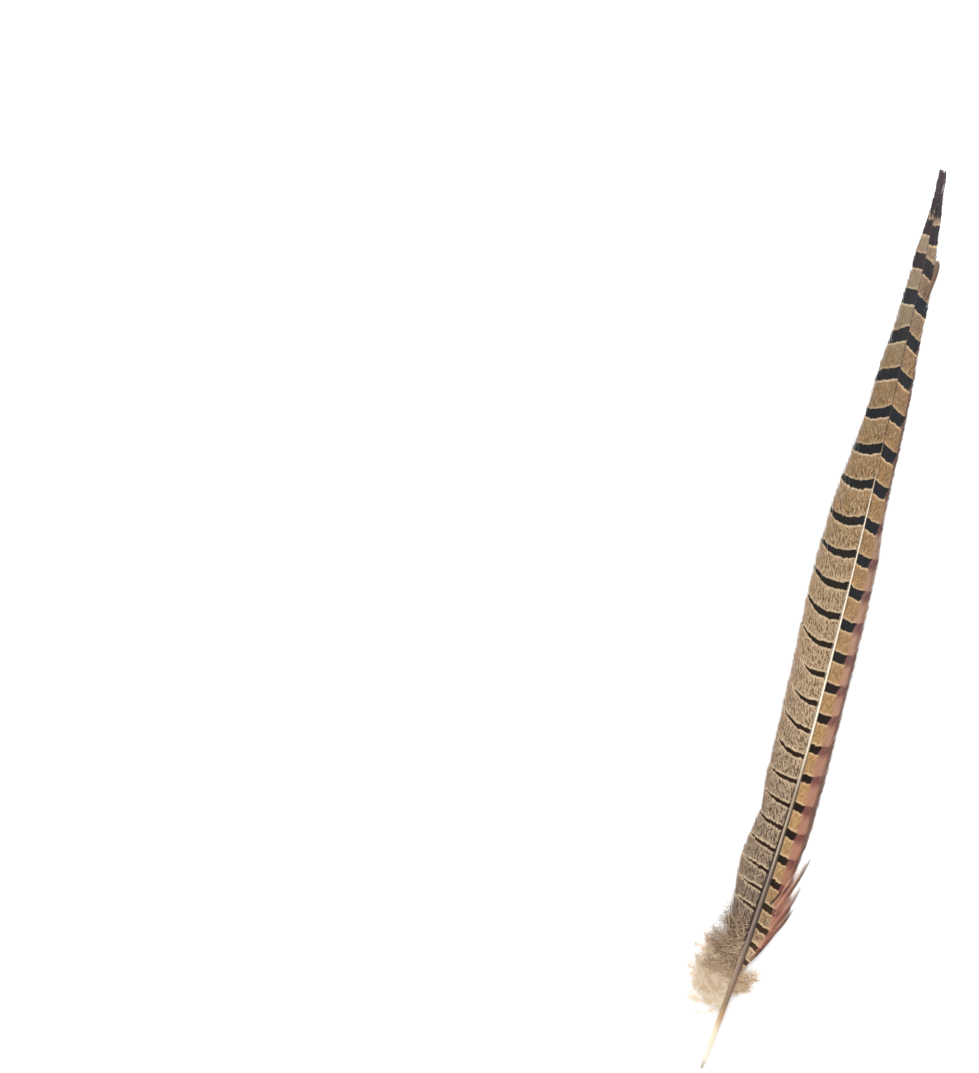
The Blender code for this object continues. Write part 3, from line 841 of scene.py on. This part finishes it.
class Nodes:
    """The node tree of one new material."""

    def __init__(self, name):
        self.material = bpy.data.materials.new(name)
        self.material.use_nodes = True
        self.tree = self.material.node_tree
        self.shader = self.tree.nodes["Principled BSDF"]

    def link(self, value, socket):
        if isinstance(value, bpy.types.NodeSocket):
            self.tree.links.new(value, socket)
        else:
            socket.default_value = value

    def set(self, **inputs):
        for name, value in inputs.items():
            self.link(value, self.shader.inputs[name.replace("_", " ")])

    def new(self, kind, *inputs):
        """A new node, its inputs given as pairs of a socket's name or number and a value."""
        node = self.tree.nodes.new("ShaderNode" + kind)
        for socket, value in inputs:
            self.link(value, node.inputs[socket])
        return node

    def attribute(self, name, output="Fac"):
        node = self.new("Attribute")
        node.attribute_name = name
        return node.outputs[output]

    def math(self, operation, *values):
        node = self.new("Math", *enumerate(values))
        node.operation = operation
        return node.outputs[0]

    def times(self, *values):
        product = values[0]
        for value in values[1:]:
            product = self.math("MULTIPLY", product, value)
        return product

    def plus(self, *values):
        total = values[0]
        for value in values[1:]:
            total = self.math("ADD", total, value)
        return total

    def step(self, value, low, high):
        """0 before low and 1 past high, smooth between them. high may be the lower of the two."""
        node = self.new("MapRange", ("Value", value), ("From Min", low), ("From Max", high))
        node.interpolation_type = "SMOOTHSTEP"
        return node.outputs["Result"]

    def band(self, value, rising, falling):
        """1 between two borders and 0 outside them. Each is given as for step, from 0 to 1."""
        return self.times(self.step(value, *rising), self.step(value, *falling))

    def mix(self, share, first, second, blend="MIX"):
        """Two colours mixed: inputs 6 and 7 and output 2 are the node's sockets for colours."""
        node = self.new("Mix")
        node.data_type = "RGBA"
        node.blend_type = blend
        for number, value in ((0, share), (6, first), (7, second)):
            self.link(value, node.inputs[number])
        return node.outputs[2]

    def brighter(self, colours, value):
        return self.new("HueSaturation", ("Color", colours), ("Value", value)).outputs["Color"]

    def ramp(self, value, stops):
        node = self.new("ValToRGB", ("Fac", value))
        elements = node.color_ramp.elements
        elements[0].position, elements[0].color = stops[0]
        elements[1].position, elements[1].color = stops[-1]
        for position, shade in stops[1:-1]:
            elements.new(position).color = shade
        return node.outputs["Color"]

    def along_ramp(self, stops):
        """A colour by the distance along the shaft, in mm."""
        return self.ramp(self.attribute("along"), [(mm / LENGTH, shade) for mm, shade in stops])

    def along_curve(self, *stops):
        """A number from 0 to 1 by the distance along the shaft, in mm."""
        return self.ramp(self.attribute("along"), [(mm / LENGTH, (n, n, n, 1.0)) for mm, n in stops])

    def parts(self, vector):
        return self.new("SeparateXYZ", (0, vector)).outputs

    def noise(self, vector, scale, shift=(0, 0, 0), detail=2.0, roughness=0.5):
        mapping = self.new("Mapping", ("Vector", vector), ("Scale", scale), ("Location", shift))
        place_in_noise = ("Vector", mapping.outputs["Vector"])
        texture = (("Scale", 1.0), ("Detail", detail), ("Roughness", roughness))
        return self.new("TexNoise", place_in_noise, *texture).outputs["Fac"]

    def around_zero(self, value, size):
        return self.times(self.math("SUBTRACT", value, 0.5), size)

    def bump(self, height, distance):
        return self.new("Bump", ("Height", height), ("Distance", distance)).outputs["Normal"]


GROUND = {  # the colour between the bars
    BROAD: colours_at(
        (44, 128, 107, 93), (75, 132, 111, 96), (105, 158, 136, 115), (160, 178, 152, 122),
        (215, 177, 150, 119), (245, 160, 133, 99), (265, 145, 118, 86), (305, 138, 113, 84),
        (335, 144, 129, 106), (385, 166, 146, 126),
    ),
    NARROW: colours_at(
        (44, 188, 166, 140), (54, 186, 162, 136), (62, 160, 134, 108), (74, 156, 129, 98),
        (94, 178, 146, 106), (120, 190, 147, 100), (160, 178, 142, 98), (220, 158, 127, 95),
        (265, 152, 122, 88), (310, 148, 121, 93), (335, 146, 124, 104), (385, 160, 139, 120),
    ),
}  # fmt: skip
HALFWAY_TINT = colour(205, 210, 208)  # multiplies the ground half-way between two bars
MARGIN = {  # toward the edge
    BROAD: colours_at((44, 138, 114, 98), (200, 170, 139, 111), (400, 138, 117, 98)),
    NARROW: colours_at(
        (44, 204, 156, 132), (62, 196, 146, 122), (74, 168, 116, 95), (110, 174, 126, 104),
        (200, 180, 140, 116), (265, 168, 136, 110), (320, 144, 120, 100), (400, 110, 94, 88),
    ),
}  # fmt: skip
RIM = colour(112, 84, 72)  # the outermost of the narrow vane's margin
RIM_SHARE = ((186, 0.9), (204, 0.4), (250, 0.4), (275, 0.9))
FOOT_RIM = colour(84, 52, 40)
FOOT_RIM_BARBS = (90.5, 86.0)  # the narrow vane's lowest barbs, numbered from the quill's point
# The barbs' roots: partly their own dark colour, partly painted shade where they leave the shaft.
ROOT_PIGMENT_AND_SHADE = colour(38, 28, 24)
ROOT_SHADE = {  # how dark the barbs are where they leave the shaft: partly their own colour, partly painted shade
    BROAD: ((48, 0.5), (60, 0.9), (108, 0.9), (122, 0.5), (160, 0.3), (270, 0.25), (300, 0.0)),
    NARROW: ((48, 0.4), (60, 0.75), (108, 0.75), (122, 0.55), (160, 0.4), (270, 0.3), (300, 0.0)),
}
CREAM = {BROAD: colour(204, 182, 150), NARROW: colour(216, 186, 146)}
LINE_ABOVE = ((60, 0.8), (180, 0.75), (260, 0.45))  # the cream line on the tip's side of a bar
LINE_BELOW = ((60, 0.6), (180, 0.65), (260, 0.85))
LINE_BESIDE_SHAFT = ((50, 0.75), (110, 0.6), (190, 0.0))
GOLD = colour(176, 126, 64)
BAR_COLOUR = {
    BROAD: colours_at(
        (46, 84, 60, 48), (70, 54, 36, 25), (84, 44, 28, 18), (100, 46, 29, 16),
        (140, 41, 25, 13), (175, 36, 26, 16), (205, 37, 32, 27), (245, 35, 35, 34),
        (280, 27, 31, 35), (300, 32, 37, 42), (325, 45, 47, 50), (345, 50, 51, 56),
        (360, 62, 56, 58), (386, 66, 61, 60), (391, 84, 70, 75), (400, 82, 70, 74),
    ),
    NARROW: colours_at(
        (46, 84, 60, 48), (58, 60, 44, 30), (72, 54, 39, 23), (84, 39, 26, 14),
        (100, 31, 20, 12), (142, 31, 19, 14), (177, 36, 30, 31), (203, 33, 37, 42),
        (280, 37, 39, 46), (325, 44, 49, 52), (345, 46, 50, 59), (360, 62, 58, 61),
        (386, 64, 61, 61), (391, 84, 70, 75), (400, 82, 70, 74),
    ),
}  # fmt: skip
BAR_PATCH = {BROAD: colour(58, 40, 26), NARROW: colour(58, 45, 38)}
MAROON = colours_at(  # what a bar turns into in the narrow vane's margin
    (60, 126, 76, 66), (100, 114, 64, 62), (200, 112, 74, 76), (290, 80, 58, 56), (400, 60, 50, 50),
)  # fmt: skip
FLECK = colours_at(
    (60, 50, 36, 32), (130, 66, 47, 36), (200, 82, 58, 38), (280, 88, 64, 36), (400, 86, 68, 54),
)  # fmt: skip
DARK_FLECKS = {BROAD: (0.52, 0.575), NARROW: (0.54, 0.6)}  # from which height of the noise
DARK_SHARE = {
    BROAD: ((240, 1.0), (290, 1.0), (312, 0.55), (400, 0.4)),
    NARROW: ((50, 0.9), (72, 0.8), (92, 0.4), (200, 0.35), (320, 0.5)),
}
DARK_EVERYWHERE = ((50, 1.0), (235, 1.0), (265, 0.25), (400, 0.2))  # not only before the bars
PALE_FLECKS = {BROAD: (0.46, 0.40), NARROW: (0.45, 0.38)}
PALE_SHARE = {
    BROAD: ((50, 0.3), (120, 0.55), (270, 0.5), (310, 0.3)),
    NARROW: ((50, 0.45), (400, 0.45)),
}
GOLD_PATCHES = {BROAD: (0.5, 0.64), NARROW: (0.45, 0.6)}
GOLD_SHARE = {
    BROAD: ((200, 0.0), (260, 0.4), (320, 0.25), (350, 0.1)),
    NARROW: ((50, 0.2), (90, 0.5), (220, 0.5), (320, 0.3), (350, 0.0)),
}
DARK_TIP = {BROAD: 379.0, NARROW: 378.6}  # from here on it is all as dark as a bar
TIP_STREAKS = {BROAD: 8.0, NARROW: 2.0}  # how far its border shifts from barb to barb
JAGGED = {BROAD: 0.9, NARROW: 0.7}  # how uneven a bar's borders are
PARTING = colour(222, 176, 150)
UNDERSIDE = colour(146, 130, 116)
SLIT_SHADOW = colour(44, 28, 24)  # painted shadow in a slit of the narrow vane near its foot
SLIT_BARBS = (128.6, 129.0), (132.0, 131.6)  # its two sides, by the barbs' numbers
SLIT_REACH = (3.6, 4.8), (7.6, 7.0)  # and its two ends, by the distance out
FLUFF = {  # by tone
    BROAD: colours_at(
        (0.0, 255, 246, 226), (0.25, 255, 235, 206), (0.5, 236, 202, 166), (0.75, 188, 152, 120),
        (1.0, 130, 100, 78),
    ),
    NARROW: colours_at(
        (0.0, 255, 246, 228), (0.25, 250, 226, 196), (0.5, 216, 182, 144), (0.75, 164, 128, 92),
        (1.0, 106, 76, 52),
    ),
}  # fmt: skip
WISP = colours_at(
    (0.0, 238, 212, 180), (0.35, 204, 176, 146), (0.65, 152, 124, 101), (1.0, 88, 66, 52),
)  # fmt: skip


def vane_ground(n, side, weave, turn):
    """The colour between the bars: greyer half-way, with flecks and gold patches along the barbs.

    turn is 0 in the middle of a bar and 0.5 half-way to the next one, negative on the tip's side.
    """
    ground = n.along_ramp(GROUND[side])
    halfway = n.step(n.math("ABSOLUTE", turn), 0.1, 0.5)
    ground = n.mix(n.times(halfway, 0.4), ground, n.mix(1.0, ground, HALFWAY_TINT, "MULTIPLY"))
    flecks = n.plus(
        n.noise(weave, (0.27, 0.7, 0), detail=2.5, roughness=0.68),
        n.around_zero(n.noise(weave, (1.1, 1.0, 0), (7, 3, 0), detail=0.0), 0.35),
    )
    patches = n.noise(weave, (0.2, 0.35, 0), (31, 17, 0), detail=1.0)
    dark = n.times(n.step(flecks, *DARK_FLECKS[side]), n.along_curve(*DARK_SHARE[side]))
    pale = n.times(n.step(flecks, *PALE_FLECKS[side]), n.along_curve(*PALE_SHARE[side]))
    gold = n.times(n.step(patches, *GOLD_PATCHES[side]), n.along_curve(*GOLD_SHARE[side]))
    if side == BROAD:
        # Toward the tip the dark flecks are left only before each bar, on the tip's side of it.
        before_bar = n.band(turn, (0.02, -0.05), (-0.48, -0.3))
        spread = n.plus(n.times(before_bar, 0.8), n.along_curve(*DARK_EVERYWHERE))
        dark = n.times(dark, n.math("MINIMUM", spread, 1.0))
    ground = n.mix(gold, ground, GOLD)
    ground = n.mix(n.times(dark, 0.85), ground, n.along_ramp(FLECK))
    return n.mix(pale, ground, CREAM[side])


def narrow_margin(n, weave, offset, half, edge):
    """The pink beside the narrow vane's edge, maroon past the ends of the bars, and the rim."""
    tip_side = n.step(n.plus(offset, half), -0.4, 0.3)
    fading = n.step(offset, n.plus(half, 3.0), n.times(half, 0.3))
    patchy = n.plus(0.45, n.times(n.noise(weave, (0.3, 0.3, 0), (5, 5, 0)), 0.8))
    maroon = n.times(tip_side, fading, patchy)
    margin = n.mix(maroon, n.along_ramp(MARGIN[NARROW]), n.along_ramp(MAROON))
    rim = n.times(n.step(edge, 0.82, 0.97), n.along_curve(*RIM_SHARE))
    return n.mix(rim, margin, RIM)


def make_vane_material(name, side):
    n = Nodes(name)
    weave = n.attribute("weave", "Vector")
    barb, from_root, out = n.parts(weave)
    read = ("along", "edge", "strand", "half", "period")
    along, edge, strand, half, period = map(n.attribute, read)

    # The distance from the nearest bar's middle, positive toward the quill, shifted barb by barb.
    shift = n.plus(n.around_zero(strand, 0.4), n.around_zero(n.noise(weave, (0.12, 0.1, 0)), 1.8))
    turn = n.plus(n.attribute("phase"), n.math("DIVIDE", shift, period), 0.5)
    turn = n.math("SUBTRACT", n.math("FRACT", turn), 0.5)
    offset = n.times(turn, period)
    jagged = n.around_zero(n.noise(weave, (0.9, 0.5, 0), (3, 9, 0)), JAGGED[side])
    outside = n.plus(n.math("SUBTRACT", n.math("ABSOLUTE", offset), half), jagged)
    streaky = n.around_zero(strand, TIP_STREAKS[side] / LENGTH)
    tip_start = DARK_TIP[side] / LENGTH
    tip = n.step(n.plus(along, streaky), tip_start, tip_start + 1.5 / LENGTH)
    in_bar = n.math("MAXIMUM", n.step(outside, 0.14, -0.14), tip)
    ground = vane_ground(n, side, weave, turn)
    patches = n.times(n.step(n.noise(weave, (0.5, 0.5, 0)), 0.45, 0.7), 0.4)
    bar = n.mix(patches, n.along_ramp(BAR_COLOUR[side]), BAR_PATCH[side])

    # Toward the edge the ground turns into the margin, and on the narrow vane the bars do too.
    if side == NARROW:
        past = n.attribute("past")
        first_barbs = n.step(barb, *FOOT_RIM_BARBS)
        margin = narrow_margin(n, weave, offset, half, edge)
        margin = n.mix(n.times(first_barbs, 0.85), margin, FOOT_RIM)
        ragged = n.plus(past, n.around_zero(n.noise(weave, (0.4, 0.5, 0), (1, 8, 0)), 2.0))
        bar = n.mix(n.step(n.plus(ragged, n.times(offset, 0.3)), -0.25, 0.25), bar, margin)
        in_margin = n.math("MAXIMUM", n.step(ragged, -1.1, 0.9), n.times(first_barbs, 0.7))
    else:
        margin = n.along_ramp(MARGIN[side])
        in_margin = n.times(n.step(edge, 0.75, 1.0), 0.6)
    ground = n.mix(in_margin, ground, margin)

    # A cream line along both sides of a bar, and on the narrow vane one beside the shaft.
    toward_quill = n.step(offset, -0.1, 0.1)
    toward_tip = n.math("SUBTRACT", 1.0, toward_quill)
    line_share = n.plus(
        n.times(toward_quill, n.along_curve(*LINE_BELOW)),
        n.times(toward_tip, n.along_curve(*LINE_ABOVE)),
    )
    line = n.times(n.band(outside, (0.0, 0.2), (1.2, 0.5)), line_share)
    if side == NARROW:
        line = n.times(line, n.step(past, 0.6, -0.4))
        beside_shaft = n.band(from_root, (0.5, 0.9), (2.0, 1.2))
        beside_shaft = n.times(beside_shaft, n.along_curve(*LINE_BESIDE_SHAFT))
        line = n.math("MAXIMUM", line, beside_shaft)
    painted = n.mix(in_bar, n.mix(line, ground, CREAM[side]), bar)
    painted = n.brighter(painted, n.plus(0.88, n.times(strand, 0.24)))
    if side == NARROW:
        painted = n.mix(n.times(n.attribute("parting"), 0.6), painted, PARTING)
        # A painted shadow in one slit of the narrow vane near its foot.
        slit_shadow = n.times(n.band(barb, *SLIT_BARBS), n.band(out, *SLIT_REACH))
        painted = n.mix(n.times(slit_shadow, 0.95), painted, SLIT_SHADOW)
    # Darker where the barbs leave the shaft: partly their own colour, partly painted shade.
    root_pigment_and_shade = n.times(n.step(from_root, 1.0, 0.2), n.along_curve(*ROOT_SHADE[side]))
    painted = n.mix(root_pigment_and_shade, painted, ROOT_PIGMENT_AND_SHADE)
    keel = n.times(n.step(n.attribute("keel"), 0.2, 0.9), 0.35)
    painted = n.mix(keel, painted, UNDERSIDE)
    n.set(
        Base_Color=painted,
        Roughness=n.plus(0.55, n.times(strand, 0.15)),
        Normal=n.bump(n.noise(weave, (0.5, 9.0, 0), detail=1.0), 0.03 * MM),
        Specular_IOR_Level=0.12,
    )
    return n.material


# The shaft's own colours run along it. Across it, the left side carries a painted highlight and the right
# side painted shade.
SHAFT_LEFT_WITH_HIGHLIGHT = colours_at(
    (0, 150, 140, 126), (5, 232, 221, 204), (17, 226, 211, 184), (23, 188, 157, 118),
    (30, 140, 115, 92), (42, 146, 124, 106), (62, 136, 117, 104), (86, 146, 128, 114),
    (98, 184, 165, 148), (112, 184, 164, 138), (125, 172, 152, 128), (138, 214, 199, 174),
    (151, 240, 228, 208), (250, 236, 223, 200), (268, 180, 155, 122), (285, 62, 48, 38),
    (400, 60, 50, 46),
)  # fmt: skip
SHAFT_RIGHT_IN_SHADE = colours_at(
    (0, 150, 140, 126), (5, 232, 221, 204), (17, 222, 205, 176), (23, 176, 143, 104),
    (30, 126, 102, 80), (42, 104, 84, 70), (62, 72, 58, 52), (98, 62, 48, 40),
    (112, 78, 60, 46), (125, 84, 66, 50), (138, 108, 88, 66), (151, 196, 180, 152),
    (165, 228, 214, 190), (250, 228, 215, 190), (268, 140, 115, 88), (285, 52, 40, 32),
    (400, 54, 46, 42),
)  # fmt: skip
SHAFT_LINE_AND_SHADE = colour(40, 30, 26)  # dark along its left shoulder where the barbs leave it: partly its own colour, partly painted shade
SHAFT_LINE_SHARE = ((50, 0.0), (60, 0.9), (118, 0.9), (130, 0.0))


def make_shaft_material():
    n = Nodes("shaft_keratin")
    across = n.attribute("across")
    lengthways = n.attribute("lengthways", "Vector")
    streaks = n.noise(lengthways, (0.12, 5.0, 0), detail=3.0, roughness=0.6)
    # From the painted highlight on the left side to the painted shade on the right side.
    rightward = n.step(n.plus(across, n.around_zero(streaks, 0.6)), -0.45, 0.6)
    base = n.mix(rightward, n.along_ramp(SHAFT_LEFT_WITH_HIGHLIGHT), n.along_ramp(SHAFT_RIGHT_IN_SHADE))
    # The dark line on the left shoulder: partly the shaft's own colour, partly painted shade.
    shoulder_line_and_shade = n.times(n.step(across, -0.36, -0.5), n.along_curve(*SHAFT_LINE_SHARE))
    base = n.mix(shoulder_line_and_shade, base, SHAFT_LINE_AND_SHADE)
    base = n.brighter(base, n.plus(0.8, n.times(streaks, 0.4)))
    n.set(Base_Color=base, Roughness=0.42, Specular_IOR_Level=0.3, Normal=n.bump(streaks, 0.05 * MM))
    return n.material


def make_fluff_material(name, stops):
    n = Nodes(name)
    n.set(Base_Color=n.ramp(n.attribute("tone"), stops), Roughness=0.8, Specular_IOR_Level=0.1)
    return n.material


def make_lock_material():
    """tone runs across the three locks near the foot to 0.5, and from there across the paddle."""
    n = Nodes("lock_barbs")
    tone, end = n.attribute("tone"), n.attribute("end")
    inner = n.step(tone, 0.1, 0.3)
    near = n.mix(inner, colour(146, 96, 82), colour(204, 150, 128))
    far = n.mix(inner, colour(108, 92, 72), colour(232, 192, 170))
    colours = n.mix(n.step(end, 0.35, 0.8), near, far)
    paddle = n.mix(n.step(tone, 0.7, 0.55), colour(148, 120, 99), colour(82, 63, 52))
    colours = n.mix(n.step(tone, 0.49, 0.51), colours, paddle)
    n.set(Base_Color=colours, Roughness=0.6, Specular_IOR_Level=0.12)
    return n.material


# --- light, floor and camera ----------------------------------------------------------------


def make_floor():
    bpy.ops.mesh.primitive_plane_add(size=6.0)
    floor = bpy.context.object
    floor.name = "floor"
    n = Nodes("floor_paper")
    n.set(Base_Color=(0.93, 0.93, 0.93, 1.0), Roughness=0.9, Specular_IOR_Level=0.1)
    floor.data.materials.append(n.material)


def make_light(name, location, size, power):
    data = bpy.data.lights.new(name, "AREA")
    data.shape = "DISK"
    data.size = size
    data.energy = power
    light = bpy.data.objects.new(name, data)
    bpy.context.scene.collection.objects.link(light)
    light.location = location
    light.rotation_euler = (-Vector(location)).to_track_quat("-Z", "Y").to_euler()


def make_world(strength):
    world = bpy.data.worlds.new("studio")
    bpy.context.scene.world = world
    world.use_nodes = True
    background = world.node_tree.nodes["Background"]
    background.inputs["Color"].default_value = (1.0, 1.0, 1.0, 1.0)
    background.inputs["Strength"].default_value = strength


def make_camera():
    """Looks straight down, turned and shifted so that the feather's ends fall on their pixels."""
    run = np.subtract(TIP_PIXEL, QUILL_PIXEL)
    pixel = CHORD / np.hypot(*run)
    lean = math.atan2(run[0], -run[1])
    middle = np.subtract((PHOTO_WIDTH / 2, PHOTO_HEIGHT / 2), QUILL_PIXEL) * pixel
    rightward = np.array([math.cos(lean), math.sin(lean)])
    downward = np.array([math.sin(lean), -math.cos(lean)])
    x, y = np.array(place(0.0, 0.0)) + rightward * middle[0] + downward * middle[1]
    data = bpy.data.cameras.new("camera")
    data.lens = LENS
    data.sensor_width = SENSOR
    camera = bpy.data.objects.new("camera", data)
    bpy.context.scene.collection.objects.link(camera)
    distance = PHOTO_HEIGHT * pixel * LENS / SENSOR + SHARP_HEIGHT
    camera.location = (x * MM, y * MM, distance * MM)
    camera.rotation_euler = (0.0, 0.0, lean)
    bpy.context.scene.camera = camera


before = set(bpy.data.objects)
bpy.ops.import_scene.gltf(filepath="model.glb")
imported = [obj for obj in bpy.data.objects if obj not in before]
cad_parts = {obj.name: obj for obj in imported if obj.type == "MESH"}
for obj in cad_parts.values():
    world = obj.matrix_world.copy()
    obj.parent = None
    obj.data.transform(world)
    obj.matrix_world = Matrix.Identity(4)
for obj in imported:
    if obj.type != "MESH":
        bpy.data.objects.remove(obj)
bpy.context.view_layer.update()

make_camera()
make_floor()
make_world(1.15)
make_light("key", (-0.5, 0.5, 1.0), 0.8, 5.5)
bpy.context.scene.view_settings.view_transform = "Standard"

make_vane("broad_vane", BROAD, make_vane_material("broad_barbs", BROAD), 11)
make_vane("narrow_vane", NARROW, make_vane_material("narrow_barbs", NARROW), 12)
make_shaft(make_shaft_material())
make_down("broad_down", BROAD, make_fluff_material("broad_fluff", FLUFF[BROAD]), 21)
make_down("narrow_down", NARROW, make_fluff_material("narrow_fluff", FLUFF[NARROW]), 22)
make_wisps("wisps", make_fluff_material("wisp_hair", WISP), 23)
make_stray_locks(make_lock_material(), 31)
